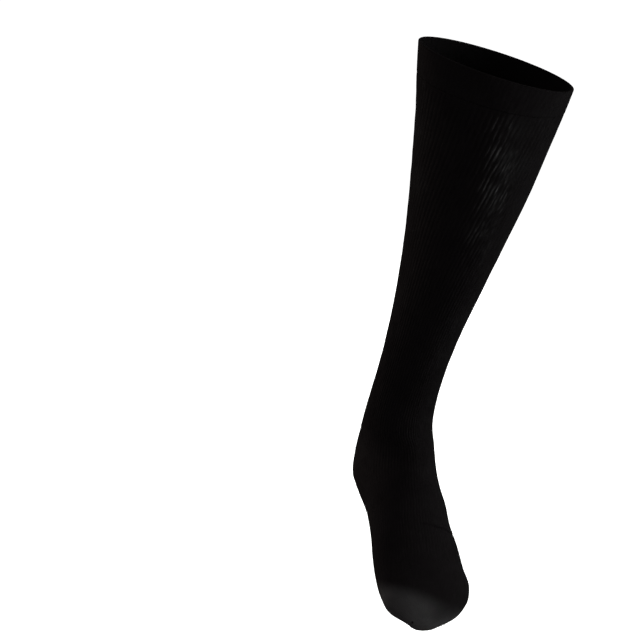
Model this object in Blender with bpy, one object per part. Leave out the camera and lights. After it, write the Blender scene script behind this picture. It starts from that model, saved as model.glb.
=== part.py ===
"""A knee-high compression stocking for a left leg, hollow and open at the top, as it is worn.

The stocking is knitted in one run: a doubled welt at the top, a ribbed leg, a plain heel
pocket, a foot that is ribbed over the instep and plain under the sole, and a plain toe cap.
Each is a wall of cloth, and they meet at seams with a small gap.

The ring table is in the stocking's own axes, in millimetres: x forwards to the toes, y to the
outer side of the leg, z up along the shin, from the centre of the top opening. A station is a
distance down the middle of the stocking from the top edge. An angle goes round it, in degrees:
0 is the shin or the instep, 90 the outer side, 180 the calf or the sole, 270 the inner side.
"""
from collections import namedtuple
import math

import bmesh
import bpy
import numpy as np

MM = 0.001

# How the leg stands: the shin leans outwards, and the toes turn outwards.
LEAN = 11.6
TURN_OUT = 14.5

# Cloth, in millimetres.
WALL = 1.3
SEAM_GAP = 0.3
WELT_WALL = 1.8
WELT_PROUD = 0.25
WELT_ROLL = 0.7
RIB_COUNT = 84
RIB_CREST = 0.25
RIB_VALLEY = 0.20

# The top edge isn't quite square to the shin: it drops to the outer side and to the back.
EDGE_SIDE_SLOPE = -0.135
EDGE_FRONT_SLOPE = 0.08
EDGE_SLOPE_FADE = 90.0
EDGE_SLOPE_POWER = 1.5

# Where the seams run, in millimetres down from the ring that each is named after.
WELT_DEPTH = 24.0
HEEL_RISE = 38.0
HEEL_RUN = 42.0
HEEL_REACH = 105.0
TOE_BACK = 4.0
TOE_SLANT = 12.0

# The sole is plain between these angles from the instep, and the ribs fade in beside it.
SOLE_FROM = 118.0
RIBS_TO = 96.0

# Rows of points along each wall, and points round its plain faces.
WELT_ROWS = 4
LEG_ROWS = 13
HEEL_ROWS = 9
FOOT_ROWS = 10
TOE_ROWS = 8
INNER_POINTS = 42
PLAIN_POINTS = 84
HEEL_END = 1.0
TIP_BULGE = 1.0
TIP_BULGE_INSIDE = 0.3
STEP = 0.05
SHARP_FROM = 50.0

Ring = namedtuple(
    "Ring", "name front_x front_z back_x back_z half_width centre_y flatness"
)
RINGS = (
    Ring("top_edge", 56.0, 0.0, -56.0, 0.0, 70.5, 0.0, 0.0),
    Ring("band", 56.0, -24.0, -58.0, -24.0, 66.5, 2.0, 0.0),
    Ring("upper_calf", 56.0, -60.0, -63.0, -60.0, 59.5, 5.0, 0.0),
    Ring("full_calf", 54.0, -100.0, -65.0, -100.0, 53.0, 7.0, 0.0),
    Ring("lower_calf", 50.0, -150.0, -61.0, -150.0, 44.5, 7.0, 0.0),
    Ring("mid_shin", 45.0, -200.0, -51.0, -200.0, 37.5, 5.0, 0.0),
    Ring("low_shin", 40.0, -250.0, -42.0, -250.0, 32.0, 2.0, 0.0),
    Ring("ankle", 36.0, -295.0, -35.0, -295.0, 30.0, 0.0, 0.0),
    Ring("tendon", 42.0, -355.0, -35.0, -376.0, 32.0, 0.0, 0.1),
    Ring("heel_top", 47.0, -365.0, -46.0, -405.0, 32.5, 4.5, 0.3),
    Ring("heel_back", 53.0, -372.0, -46.0, -432.0, 33.5, 6.0, 0.5),
    Ring("heel_base", 61.0, -378.0, -32.0, -452.0, 35.0, 5.5, 0.8),
    Ring("instep", 71.0, -387.0, 3.0, -455.0, 36.0, 5.0, 0.8),
    Ring("arch", 85.0, -397.0, 42.0, -453.0, 37.0, 5.0, 0.8),
    Ring("arch_end", 99.0, -407.0, 71.0, -457.0, 38.0, 4.0, 0.9),
    Ring("ball_start", 115.0, -416.0, 97.0, -465.0, 41.0, 4.0, 1.0),
    Ring("ball", 131.0, -425.0, 122.0, -471.0, 42.5, 3.5, 1.0),
    Ring("toe_root", 148.0, -432.0, 147.0, -471.0, 43.0, 3.0, 1.0),
    Ring("toes", 164.0, -438.0, 165.0, -469.0, 37.0, 0.0, 1.0),
    Ring("toe_front", 174.0, -445.0, 175.0, -467.0, 26.0, -1.5, 0.8),
    Ring("tip", 179.0, -455.0, 182.0, -467.0, 12.0, -6.0, 0.6),
)
SIZES = np.array([ring[1:] for ring in RINGS])

Cloth = namedtuple("Cloth", "colour roughness")
CLOTHS = {
    "welt": Cloth((0.0040, 0.0040, 0.0042), 0.80),
    "leg": Cloth((0.0045, 0.0045, 0.0047), 0.75),
    "heel": Cloth((0.0060, 0.0058, 0.0055), 0.80),
    "foot": Cloth((0.0050, 0.0050, 0.0052), 0.75),
    "toe": Cloth((0.0130, 0.0130, 0.0133), 0.70),
}


def ring_stations():
    """The station of each ring: the mean run down the front and the back so far."""
    front = np.linalg.norm(np.diff(SIZES[:, 0:2], axis=0), axis=1)
    back = np.linalg.norm(np.diff(SIZES[:, 2:4], axis=0), axis=1)
    return np.concatenate(([0.0], np.cumsum((front + back) / 2)))


STATIONS = ring_stations()
SLOPES = np.gradient(SIZES, STATIONS, axis=0)


def station_of(name):
    """The station of a named ring."""
    return STATIONS[[ring.name for ring in RINGS].index(name)]


def sizes_at(station):
    """The ring table's sizes at any station, on a smooth curve through its rows."""
    i = np.clip(np.searchsorted(STATIONS, station, side="right") - 1, 0, len(STATIONS) - 2)
    span = (STATIONS[i + 1] - STATIONS[i])[..., None]
    x = (station - STATIONS[i])[..., None] / span
    start = (1 + 2 * x) * (1 - x) ** 2 * SIZES[i] + x * (1 - x) ** 2 * span * SLOPES[i]
    end = x * x * (3 - 2 * x) * SIZES[i + 1] + x * x * (x - 1) * span * SLOPES[i + 1]
    return np.moveaxis(start + end, -1, 0)


def skin(station, angle):
    """Points on the plain skin: an ellipse at each station, flatter under the sole."""
    station, angle = np.broadcast_arrays(station, angle)
    front_x, front_z, back_x, back_z, half_width, centre_y, flatness = sizes_at(station)
    across = np.sin(np.radians(angle))
    forward = np.cos(np.radians(angle))
    depth = np.abs(forward)
    forward = np.where(forward < 0, -depth * (1 + flatness) / (1 + flatness * depth), forward)
    middle_x = (front_x + back_x) / 2
    middle_z = (front_z + back_z) / 2
    reach_x = (front_x - back_x) / 2 * forward
    reach_z = (front_z - back_z) / 2 * forward
    fade = np.clip(1 + middle_z / EDGE_SLOPE_FADE, 0, None) ** EDGE_SLOPE_POWER
    slope = EDGE_SIDE_SLOPE * half_width * across + EDGE_FRONT_SLOPE * reach_x
    return np.stack(
        (middle_x + reach_x, centre_y + half_width * across, middle_z + reach_z + fade * slope),
        axis=-1,
    )


def directions(station, angle):
    """How the skin runs per millimetre of station and per degree, and its outward unit normal."""
    along = (skin(station + STEP, angle) - skin(station - STEP, angle)) / (2 * STEP)
    around = (skin(station, angle + STEP) - skin(station, angle - STEP)) / (2 * STEP)
    out = np.cross(along, around)
    out /= np.linalg.norm(out, axis=-1, keepdims=True)
    return along, around, out


def top_edge(angle):
    """The station of the stocking's top edge."""
    return np.zeros_like(angle)


def welt_seam(angle):
    """The station where the welt joins the leg."""
    return np.full_like(angle, WELT_DEPTH)


def heel_gore(angle):
    """How far the heel pocket opens: 0 round the front, rising from its corners to 1 at the back."""
    from_back = np.abs(np.mod(angle, 360.0) - 180.0)
    opening = np.cos(np.radians(90.0 * from_back / HEEL_REACH))
    return np.where(from_back < HEEL_REACH, opening, 0.0)


def leg_seam(angle):
    """The station of the leg's lower edge, which climbs over the heel pocket."""
    return station_of("heel_back") - HEEL_RISE * heel_gore(angle)


def foot_seam(angle):
    """The station of the foot's first edge, which passes under the heel pocket."""
    return station_of("heel_back") + HEEL_RUN * heel_gore(angle)


def toe_seam(angle):
    """The station of the toe cap's edge, further forward on the outer side."""
    return station_of("toe_root") - TOE_BACK + TOE_SLANT * np.sin(np.radians(angle))


def cut_edge(seam, angle, side):
    """Stations that keep half the seam gap from a seam line, before it (-1) or past it (1)."""
    station = seam(angle)
    along, around, _ = directions(station, angle)
    run = np.linalg.norm(along, axis=-1)
    turn = np.linalg.norm(around, axis=-1)
    climb = (seam(angle + STEP) - seam(angle - STEP)) / (2 * STEP) * run / turn
    return station + side * SEAM_GAP / 2 * np.sqrt(1 + climb**2) / run


def lattice(first, last, rows, angle, height):
    """Rows of points from one edge to another, at a height over the skin (under it if negative)."""
    share = np.linspace(0.0, 1.0, rows)[:, None]
    station = first * (1 - share) + last * share
    _, _, out = directions(station, angle)
    return skin(station, angle) + out * np.broadcast_to(height, station.shape)[..., None]


def angles_round(count):
    """Angles of that many points, evenly round the stocking."""
    return np.arange(count) * 360.0 / count


def rib_heights(angle):
    """The knitted ribs: crests and valleys in turn."""
    return np.where(np.arange(len(angle)) % 2 == 1, RIB_CREST, -RIB_VALLEY)


def instep_share(angle):
    """1 over the instep, 0 under the sole, with a short fade between."""
    from_front = 180.0 - np.abs(np.mod(angle, 360.0) - 180.0)
    return np.clip((SOLE_FROM - from_front) / (SOLE_FROM - RIBS_TO), 0.0, 1.0)


class Wall:
    """A closed wall of cloth, made from an outer and an inner lattice of points."""

    def __init__(self):
        self.points = []
        self.faces = []

    def add_rows(self, rows):
        """Adds a lattice and returns the index of each of its points, row by row."""
        first = len(self.points)
        self.points.extend(rows.reshape(-1, 3))
        return first + np.arange(rows.shape[0] * rows.shape[1]).reshape(rows.shape[:2])

    def add_point(self, point):
        """Adds one point and returns its index."""
        self.points.append(point)
        return len(self.points) - 1

    def skin_over(self, rows):
        """Covers a lattice with faces of four corners."""
        for upper, lower in zip(rows[:-1], rows[1:]):
            for i in range(len(upper) - 1):
                self.faces.append((upper[i], upper[i + 1], lower[i + 1], lower[i]))

    def close_edge(self, outer, inner):
        """Joins an outer row to an inner one that has the same points or every second or so."""
        ratio = (len(outer) - 1) // (len(inner) - 1)
        middle = ratio // 2
        for i in range(len(inner) - 1):
            near, far = inner[i], inner[i + 1]
            start = i * ratio
            for j in range(start, start + middle):
                self.faces.append((near, outer[j], outer[j + 1]))
            self.faces.append((near, outer[start + middle], far))
            for j in range(start + middle, start + ratio):
                self.faces.append((far, outer[j], outer[j + 1]))

    def close_tip(self, row, tip):
        """Closes a row round the tip with a fan."""
        for i in range(len(row) - 1):
            self.faces.append((row[i], row[i + 1], tip))

    def object(self, name, parent):
        """Makes the object, with its faces outwards and its own material."""
        mesh = bpy.data.meshes.new(name)
        mesh.from_pydata([tuple(point * MM) for point in self.points], [], self.faces)
        work = bmesh.new()
        work.from_mesh(mesh)
        bmesh.ops.recalc_face_normals(work, faces=work.faces)
        work.to_mesh(mesh)
        work.free()
        mesh.shade_smooth()
        mesh.set_sharp_from_angle(angle=math.radians(SHARP_FROM))
        mesh.materials.append(cloth_material(name))
        piece = bpy.data.objects.new(name, mesh)
        piece.parent = parent
        bpy.context.scene.collection.objects.link(piece)
        return piece


def round_off(rows):
    """Repeats each row's first point index at its end, so that faces go all the way round."""
    return np.concatenate((rows, rows[:, :1]), axis=1)


def cloth_material(name):
    """The plain knitted cloth of one piece."""
    material = bpy.data.materials.new(name + "_cloth")
    material.use_nodes = True
    shader = material.node_tree.nodes["Principled BSDF"]
    shader.inputs["Base Color"].default_value = (*CLOTHS[name].colour, 1.0)
    shader.inputs["Roughness"].default_value = CLOTHS[name].roughness
    shader.inputs["Metallic"].default_value = 0.0
    return material


def make_tube(name, parent, seams, rows, outer_points, outer_height):
    """A tube of cloth between two seam lines, ribbed or plain outside and plain inside."""
    outer_angle = angles_round(outer_points)
    inner_angle = angles_round(INNER_POINTS)
    first, last = seams
    wall = Wall()
    outer = wall.add_rows(
        lattice(
            cut_edge(first, outer_angle, 1),
            cut_edge(last, outer_angle, -1),
            rows, outer_angle, outer_height(outer_angle),
        )
    )
    inner = wall.add_rows(
        lattice(
            cut_edge(first, inner_angle, 1),
            cut_edge(last, inner_angle, -1),
            rows, inner_angle, -WALL,
        )
    )
    outer, inner = round_off(outer), round_off(inner)
    wall.skin_over(outer)
    wall.skin_over(inner)
    wall.close_edge(outer[0], inner[0])
    wall.close_edge(outer[-1], inner[-1])
    return wall.object(name, parent)


def make_welt(parent):
    """The doubled band at the top, turned over at the top edge."""
    outer_angle = angles_round(PLAIN_POINTS)
    inner_angle = angles_round(INNER_POINTS)
    wall = Wall()
    crest = lattice(top_edge(outer_angle), 0.0, 1, outer_angle, WELT_PROUD - WELT_WALL / 2)
    face = lattice(
        top_edge(outer_angle) + WELT_ROLL, cut_edge(welt_seam, outer_angle, -1),
        WELT_ROWS, outer_angle, WELT_PROUD,
    )
    back = lattice(
        top_edge(inner_angle) + WELT_ROLL, cut_edge(welt_seam, inner_angle, -1),
        WELT_ROWS, inner_angle, WELT_PROUD - WELT_WALL,
    )
    outer = round_off(wall.add_rows(np.concatenate((crest, face))))
    inner = round_off(wall.add_rows(back))
    wall.skin_over(outer)
    wall.skin_over(inner)
    wall.close_edge(outer[0], inner[0])
    wall.close_edge(outer[-1], inner[-1])
    return wall.object("welt", parent)


def make_leg(parent):
    """The ribbed leg, from the welt to the ankle and over the heel pocket."""
    return make_tube("leg", parent, (welt_seam, leg_seam), LEG_ROWS, 2 * RIB_COUNT, rib_heights)


def make_foot(parent):
    """The foot, from the ankle and the heel pocket to the toe cap."""
    def height(angle):
        return rib_heights(angle) * instep_share(angle)

    return make_tube("foot", parent, (foot_seam, toe_seam), FOOT_ROWS, 2 * RIB_COUNT, height)


def make_heel(parent):
    """The plain heel pocket, which narrows to a corner on each side of the ankle."""
    corner = 180.0 - HEEL_REACH
    angle = corner + np.arange(0.0, 2 * HEEL_REACH + STEP, 360.0 / PLAIN_POINTS)
    angle[0] += HEEL_END
    angle[-1] -= HEEL_END
    edges = (cut_edge(leg_seam, angle, 1), cut_edge(foot_seam, angle, -1))
    wall = Wall()
    outer = wall.add_rows(lattice(*edges, HEEL_ROWS, angle, 0.0))
    inner = wall.add_rows(lattice(*edges, HEEL_ROWS, angle, -WALL))
    wall.skin_over(outer)
    wall.skin_over(inner)
    for row in (0, -1):
        wall.close_edge(outer[row], inner[row])
        wall.close_edge(outer[:, row], inner[:, row])
    return wall.object("heel", parent)


def make_toe(parent):
    """The plain toe cap, closed at the tip."""
    wall = Wall()
    for count, height, bulge in (
        (PLAIN_POINTS, 0.0, TIP_BULGE),
        (INNER_POINTS, -WALL, TIP_BULGE_INSIDE),
    ):
        angle = angles_round(count)
        end = np.full_like(angle, STATIONS[-1])
        points = lattice(cut_edge(toe_seam, angle, 1), end, TOE_ROWS, angle, height)
        rows = round_off(wall.add_rows(points))
        tip = wall.add_point(points[-1].mean(axis=0) + (bulge, 0.0, 0.0))
        wall.skin_over(rows)
        wall.close_tip(rows[-1], tip)
        if height == 0.0:
            outer_edge = rows[0]
    wall.close_edge(outer_edge, rows[0])
    return wall.object("toe", parent)


def worn_pose():
    """An empty at the top opening that turns and then leans the whole stocking."""
    empty = bpy.data.objects.new("worn_pose", None)
    empty.rotation_mode = "ZYX"
    empty.rotation_euler = (0.0, math.radians(LEAN), math.radians(TURN_OUT - 90.0))
    bpy.context.scene.collection.objects.link(empty)
    return empty


def main():
    """Clears the scene and makes the stocking's five pieces."""
    for old in list(bpy.data.objects):
        bpy.data.objects.remove(old, do_unlink=True)
    pose = worn_pose()
    make_welt(pose)
    make_leg(pose)
    make_heel(pose)
    make_foot(pose)
    make_toe(pose)
    bpy.context.view_layer.update()


main()
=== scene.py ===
"""A worn knee-high compression stocking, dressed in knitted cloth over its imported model.

Sizes in the tables are in millimetres, in the stocking's own axes: x forwards to the toes, y to
the outer side of the leg, z up along the shin, from the centre of the top opening. A station is
a distance down the middle of the stocking from its top edge. An angle goes round it, in degrees:
0 is the shin or the instep, 90 the outer side, 180 the calf or the sole, 270 the inner side.
"""

from collections import namedtuple
import math

import bpy
import numpy as np
from mathutils import Euler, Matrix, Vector


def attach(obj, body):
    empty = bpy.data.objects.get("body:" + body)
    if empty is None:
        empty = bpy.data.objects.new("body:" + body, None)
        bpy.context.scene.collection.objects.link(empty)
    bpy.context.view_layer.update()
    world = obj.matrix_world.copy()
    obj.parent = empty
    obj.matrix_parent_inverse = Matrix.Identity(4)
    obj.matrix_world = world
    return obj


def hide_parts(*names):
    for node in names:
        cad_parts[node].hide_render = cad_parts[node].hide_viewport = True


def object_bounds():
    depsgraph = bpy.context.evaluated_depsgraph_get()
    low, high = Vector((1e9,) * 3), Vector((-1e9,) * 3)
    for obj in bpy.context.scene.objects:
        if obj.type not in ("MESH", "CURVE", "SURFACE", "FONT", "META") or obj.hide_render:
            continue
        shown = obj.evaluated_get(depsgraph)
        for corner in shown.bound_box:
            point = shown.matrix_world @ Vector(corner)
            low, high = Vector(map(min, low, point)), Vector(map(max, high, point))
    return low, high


bl_info = {
    "name": "Compression Stocking",
    "version": (1, 0, 0),
    "blender": (4, 5, 0),
    "location": "3D View > Sidebar > Stocking",
    "description": "Dresses a packed compression stocking in knitted cloth and lights it",
    "category": "Object",
}

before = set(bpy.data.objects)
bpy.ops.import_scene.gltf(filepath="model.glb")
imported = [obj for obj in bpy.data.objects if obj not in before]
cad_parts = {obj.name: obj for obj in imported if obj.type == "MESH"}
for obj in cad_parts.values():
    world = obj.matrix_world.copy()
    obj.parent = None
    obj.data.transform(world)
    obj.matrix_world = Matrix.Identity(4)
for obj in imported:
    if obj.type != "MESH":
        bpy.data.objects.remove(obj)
PACKED_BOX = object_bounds()

MM = 0.001
BODY = "root"

# How the leg stands: the shin leans outwards, and the toes turn outwards.
LEAN = 11.6
TURN_OUT = 14.5

# The walls, how far the welt stands over the skin, its fine rib and its share of the cloth's
# unevenness, and how many ribs the leg has and what power rounds them.
WALL = 1.3
WELT_WALL = 1.8
WELT_PROUD = 0.25
WELT_RIB = 0.05
WELT_UNEVEN = 0.6
RIB_COUNT = 84
RIB_ROUND = 0.7

# The top edge isn't quite square to the shin: it drops to the outer side and to the back.
EDGE_SIDE_SLOPE = -0.135
EDGE_FRONT_SLOPE = 0.08
EDGE_SLOPE_FADE = 90.0
EDGE_SLOPE_POWER = 1.5

# The camera, the floor's half width and the overhead light's height over the stocking, in metres
# and degrees, in the frame.
CAMERA_PLACE = (-0.148, -1.111, 0.394)
CAMERA_ELEVATION = 30.0
FLOOR_REACH = 6.0
OVERHEAD_RISE = 1.0

# The lamps, which all face the stocking's middle. Azimuth runs from the camera's side (0) to the
# stocking's outer side (90). Distance, width and height are in metres, power is in watts, and
# only the lamps that say so show in the yarn's gloss.
Lamp = namedtuple("Lamp", "name azimuth elevation distance width height power colour in_gloss")
LAMPS = (
    Lamp("key", 33.0, -30.0, 0.95, 0.28, 0.40, 1.4, (1.0, 1.0, 1.0), True),
    Lamp("side", 90.0, 0.0, 0.95, 0.6, 0.6, 4.9, (0.86, 1.0, 0.97), False),
    Lamp("fill", -125.0, -12.0, 1.3, 0.8, 1.0, 10.0, (1.0, 0.97, 0.86), False),
    Lamp("back", 178.0, 12.0, 1.2, 0.5, 0.9, 9.0, (1.0, 1.0, 1.0), True),
)

# The seams: the welt's depth, the heel pocket's rise and run from the ring at the heel's back, how
# many degrees its corners lie from the back and its cloth stops short of them, and how far the
# toe cap starts before the toes' root and slants to the outer side.
WELT_DEPTH = 24.0
HEEL_RISE = 38.0
HEEL_RUN = 42.0
HEEL_REACH = 105.0
HEEL_END = 1.0
TOE_BACK = 4.0
TOE_SLANT = 12.0

# The shine fades to a dull share between two stations, and near the top edge. This much is left
# between its spots, and where there is more, the yarn is painted paler by this share as a
# highlight.
CALF_SHINE = 120.0
FOOT_DULL = 330.0
TOP_DULL = 40.0
DULL = 0.30
BETWEEN_SPOTS = 0.22
PAINTED_HIGHLIGHT_SHARE = 0.36

# Where the yarn turns to charcoal: later at the outer side and on top.
TONE_MIDDLE = 577.0
TONE_ASIDE = 16.0
TONE_ABOVE = 16.0

# The dome over the tip: its height, its cloth's run past the last ring, the share of that run that
# the last stitches leave open, and the length over which the cloth turns even.
TIP_BULGE = 2.4
TIP_RUN = 9.0
TIP_OPEN = 0.08
TIP_EVEN = 25.0

# The sole is plain between these angles from the instep, and the ribs fade in beside it. On the
# foot they are stretched flatter than on the leg, by this share. Ribs rise under the welt, sink
# before the toe cap, stop under the sole and flatten on the foot over these lengths.
SOLE_FROM = 118.0
RIBS_TO = 96.0
FOOT_FLATTER = 0.45
RIBS_RISE = 5.0
RIBS_SINK = 30.0
RIBS_STOP = 10.0
RIBS_FLATTEN = 40.0

# The knitting: stitches are columns, called wales, and rows, called courses. It is stretched round
# the worn leg against its relaxed cut, which is measured in so many rows. Slopes are taken over
# one small step.
WALES_PER_RIB = 3
COURSE = 0.95
CUT_ROWS = 61
STEP = 0.05

# Edges: how far a cut edge rounds over and a square one, how fast one turns to the other at the
# heel pocket's corners, where one row more lies beside each edge, and how near to an edge the
# ribs stop drifting.
EDGE_ROLL = 0.35
SQUARE_ROLL = 0.01
ROLL_RISE = 4.0
EDGE_ROW = 0.8
DRIFT_FADE = 30.0

# Each lattice's rows down its outside and inside, round an edge and round the top fold, its
# columns, and the angle past which its faces meet sharply.
WELT_ROWS = (26, 14)
LEG_ROWS = (134, 44)
HEEL_ROWS = (46, 16)
FOOT_ROWS = (74, 24)
TOE_ROWS = (64, 28)
EDGE_ROWS = 3
FOLD_ROWS = 7
COLUMNS = 6 * RIB_COUNT
HEEL_COLUMNS = 241
TOE_COLUMNS = 3 * RIB_COUNT
SHARP = 60.0

# The pulled-on leg's twist, in degrees per millimetre, down to where it starts to fade, and
# where it ends.
TWIST_RATE = 0.27
TWIST_FULL = 110.0
TWIST_END = 270.0

# Smooth waves, with a value every knot millimetres and at count places round: the low waves of
# cloth stretched by hand, each rib unlike the next, and the ribs' sideways drift in degrees.
Waves = namedtuple("Waves", "height knot count seed")
CLOTH_WAVES = (Waves(0.65, 42.0, 9, 11), Waves(0.35, 17.0, 22, 12))
RIB_WAVES = (Waves(1.0, 9.0, RIB_COUNT, 21),)
DRIFT_WAVES = (Waves(0.8, 70.0, 5, 31), Waves(0.25, 28.0, 14, 32))

# The rings, each with its front and back, half width, middle, and how flat its underside is.
Ring = namedtuple("Ring", "name front_x front_z back_x back_z half_width centre_y flatness")
RINGS = [Ring(*row) for row in (
    ("top_edge", 56, 0, -56, 0, 70.5, 0, 0),
    ("band", 56, -24, -58, -24, 66.5, 2, 0),
    ("upper_calf", 56, -60, -63, -60, 59.5, 5, 0),
    ("full_calf", 54, -100, -65, -100, 53, 7, 0),
    ("lower_calf", 50, -150, -61, -150, 44.5, 7, 0),
    ("mid_shin", 45, -200, -51, -200, 37.5, 5, 0),
    ("low_shin", 40, -250, -42, -250, 32, 2, 0),
    ("ankle", 36, -295, -35, -295, 30, 0, 0),
    ("tendon", 42, -355, -35, -376, 32, 0, 0.1),
    ("heel_top", 47, -365, -46, -405, 32.5, 4.5, 0.3),
    ("heel_back", 53, -372, -46, -432, 33.5, 6, 0.5),
    ("heel_base", 61, -378, -32, -452, 35, 5.5, 0.8),
    ("instep", 71, -387, 3, -455, 36, 5, 0.8),
    ("arch", 85, -397, 42, -453, 37, 5, 0.8),
    ("arch_end", 99, -407, 71, -457, 38, 4, 0.9),
    ("ball_start", 115, -416, 97, -465, 41, 4, 1),
    ("ball", 131, -425, 122, -471, 42.5, 3.5, 1),
    ("toe_root", 148, -432, 147, -471, 43, 3, 1),
    ("toes", 164, -438, 165, -469, 37, 0, 1),
    ("toe_front", 174, -445, 175, -467, 26, -1.5, 0.8),
    ("tip", 179, -455, 182, -467, 12, -6, 0.6),
)]
SIZES = np.array([ring[1:] for ring in RINGS])

# The creases, each a soft trough between two low ridges. Reach is its half length in degrees,
# tilt its run down the leg per degree, and bow how far its middle sags below its ends.
Crease = namedtuple("Crease", "name station angle reach tilt bow depth width")
CREASES = [Crease(*row) for row in (
    ("instep_outer", 510.3, 38, 58, 0.06, 7, 1.25, 1.5),
    ("instep_inner", 497, -38, 30, -0.08, 1, 0.16, 2.6),
    ("instep_high", 452, 12, 38, 0.06, 2.5, 0.22, 3.6),
    ("ankle_front", 384, -6, 44, 0.05, 4, 0.14, 5.5),
    ("ankle_front_upper", 366, 14, 36, -0.07, 3.5, 0.08, 5),
    ("ankle_front_lower", 401, 26, 30, 0.10, 3, 0.10, 4.5),
    ("ankle_outer", 372, 84, 26, 0.20, 2, 0.30, 3.2),
    ("ankle_inner", 378, 274, 28, -0.22, 2.5, 0.34, 3.4),
    ("tendon_upper", 332, 184, 40, 0.05, -2.5, 0.42, 3.6),
    ("tendon_middle", 345, 172, 34, -0.06, -2, 0.36, 3.2),
    ("tendon_lower", 357, 190, 30, 0.04, -2.5, 0.44, 3.4),
    ("shin_low", 300, -14, 34, 0.08, 2, 0.24, 4.5),
    ("shin_side", 262, 62, 30, -0.12, 2, 0.22, 4.5),
    ("calf_drape", 141, 166, 44, 0.10, 4, 0.34, 6),
    ("calf_drape_upper", 112, 206, 36, -0.12, 3, 0.30, 5.5),
    ("knee_back", 42, 178, 48, 0.05, 3.5, 0.42, 4.5),
    ("knee_back_lower", 58, 196, 38, -0.06, 3, 0.34, 4.5),
    ("knee_inner", 50, 268, 28, 0.14, 2, 0.26, 4),
    ("calf_front", 152, -30, 26, 0.16, 2, 0.20, 5),
    ("heel_side", 440, 128, 24, 0.22, 1.5, 0.26, 3),
    ("heel_side_inner", 438, 234, 24, -0.20, 1.5, 0.26, 3),
    ("arch_inner", 480, 262, 24, 0.16, 1.5, 0.30, 3.4),
    ("arch_sole", 476, 190, 34, 0.05, 1.5, 0.34, 3.8),
    ("ball_outer", 530, 92, 24, 0.14, 1, 0.24, 3),
)]

# Each crease's ridges: how many widths from its trough, and how high against its depth. The depth
# ripples along it, and the painted shade in its trough is full this deep in it.
RIDGE_AWAY = 1.9
LOWER_RIDGE = 0.45
UPPER_RIDGE = 0.35
RIPPLE = 0.25
RIPPLES = 7.0
CREASE_SHADE_DEPTH = 0.7

# Where the cloth shines most, as soft spots that set its gloss and a painted highlight in its
# colour. Down and round are their half sizes, in millimetres and in degrees.
Spot = namedtuple("Spot", "station angle down round strength")
SPOTS = [Spot(*row) for row in (
    (34, 2, 9, 11, 0.55),
    (62, -1, 12, 13, 1),
    (66, 14, 8, 10, 0.5),
    (96, -5, 14, 12, 1),
    (137, -12, 11, 11, 0.8),
    (260, 10, 30, 22, 0.9),
    (58, 96, 14, 14, 0.7),
    (104, 88, 16, 12, 0.8),
    (48, 172, 12, 14, 0.8),
    (84, 186, 16, 13, 0.9),
    (128, 178, 14, 12, 0.6),
    (70, 262, 15, 13, 0.8),
    (116, 274, 14, 12, 0.6),
)]

# The small stitches: length, width and thickness, height over the skin, slant off their row, the
# cloth whose finish they take, how far they are charcoal, and how many times wider the dark knot
# at each end of their row is, or 0 where it has none. The knots' black yarn is partly painted
# shade for the hole at the seam's end. Each is a bead of a few rings and spokes.
Stitch = namedtuple("Stitch", "size height slant cloth charcoal knot")
WELT_STITCH = Stitch((1.9, 0.55, 0.42), -0.12, 24.0, "leg", 0.0, 0.0)
HEEL_MARK = Stitch((1.3, 0.7, 0.5), 0.02, 42.0, "heel", 0.0, 0.0)
TOE_MARK = Stitch((1.2, 0.7, 0.5), 0.02, 40.0, "toe", 0.7, 0.0)
LINK = Stitch((2.2, 0.8, 0.7), 0.10, 62.0, "toe", 0.55, 2.1)

BEAD_RINGS = 7
BEAD_SPOKES = 8

# Their rows, each with its two ends and its count. The heel's marks run round, and the toe cap's
# marks down, from past the toes' root to short of the tip, at one angle on each side. The linking
# seam runs round under the tip, this far back from the last ring.
HEEL_MARKS = {"outer": (82.0, 136.0, 16), "inner": (278.0, 224.0, 16)}
TOE_MARK_ANGLES = {"outer": 92.0, "inner": 268.0}
TOE_MARKS_PAST = 8.0
TOE_MARKS_SHORT = 7.0
TOE_MARKS = 13
LINK_ANGLES = (285.0, 104.0, 20)
LINK_BACK = (1.0, 6.0, 20)


# ---------------------------------------------------------------- the form


def ring_stations():
    """The station of each ring: the mean run down the front and the back so far."""
    front = np.linalg.norm(np.diff(SIZES[:, 0:2], axis=0), axis=1)
    back = np.linalg.norm(np.diff(SIZES[:, 2:4], axis=0), axis=1)
    return np.concatenate(([0.0], np.cumsum((front + back) / 2)))


STATIONS = ring_stations()
LAST = STATIONS[-1]
SLOPES = np.gradient(SIZES, STATIONS, axis=0)


def station_of(name):
    """The station of a named ring."""
    return STATIONS[[ring.name for ring in RINGS].index(name)]


def sizes_at(station):
    """The ring table's sizes at any station, on a smooth curve through its rows."""
    i = np.clip(np.searchsorted(STATIONS, station, side="right") - 1, 0, len(STATIONS) - 2)
    span = (STATIONS[i + 1] - STATIONS[i])[..., None]
    x = (station - STATIONS[i])[..., None] / span
    start = (1 + 2 * x) * (1 - x) ** 2 * SIZES[i] + x * (1 - x) ** 2 * span * SLOPES[i]
    end = x * x * (3 - 2 * x) * SIZES[i + 1] + x * x * (x - 1) * span * SLOPES[i + 1]
    return np.moveaxis(start + end, -1, 0)


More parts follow.
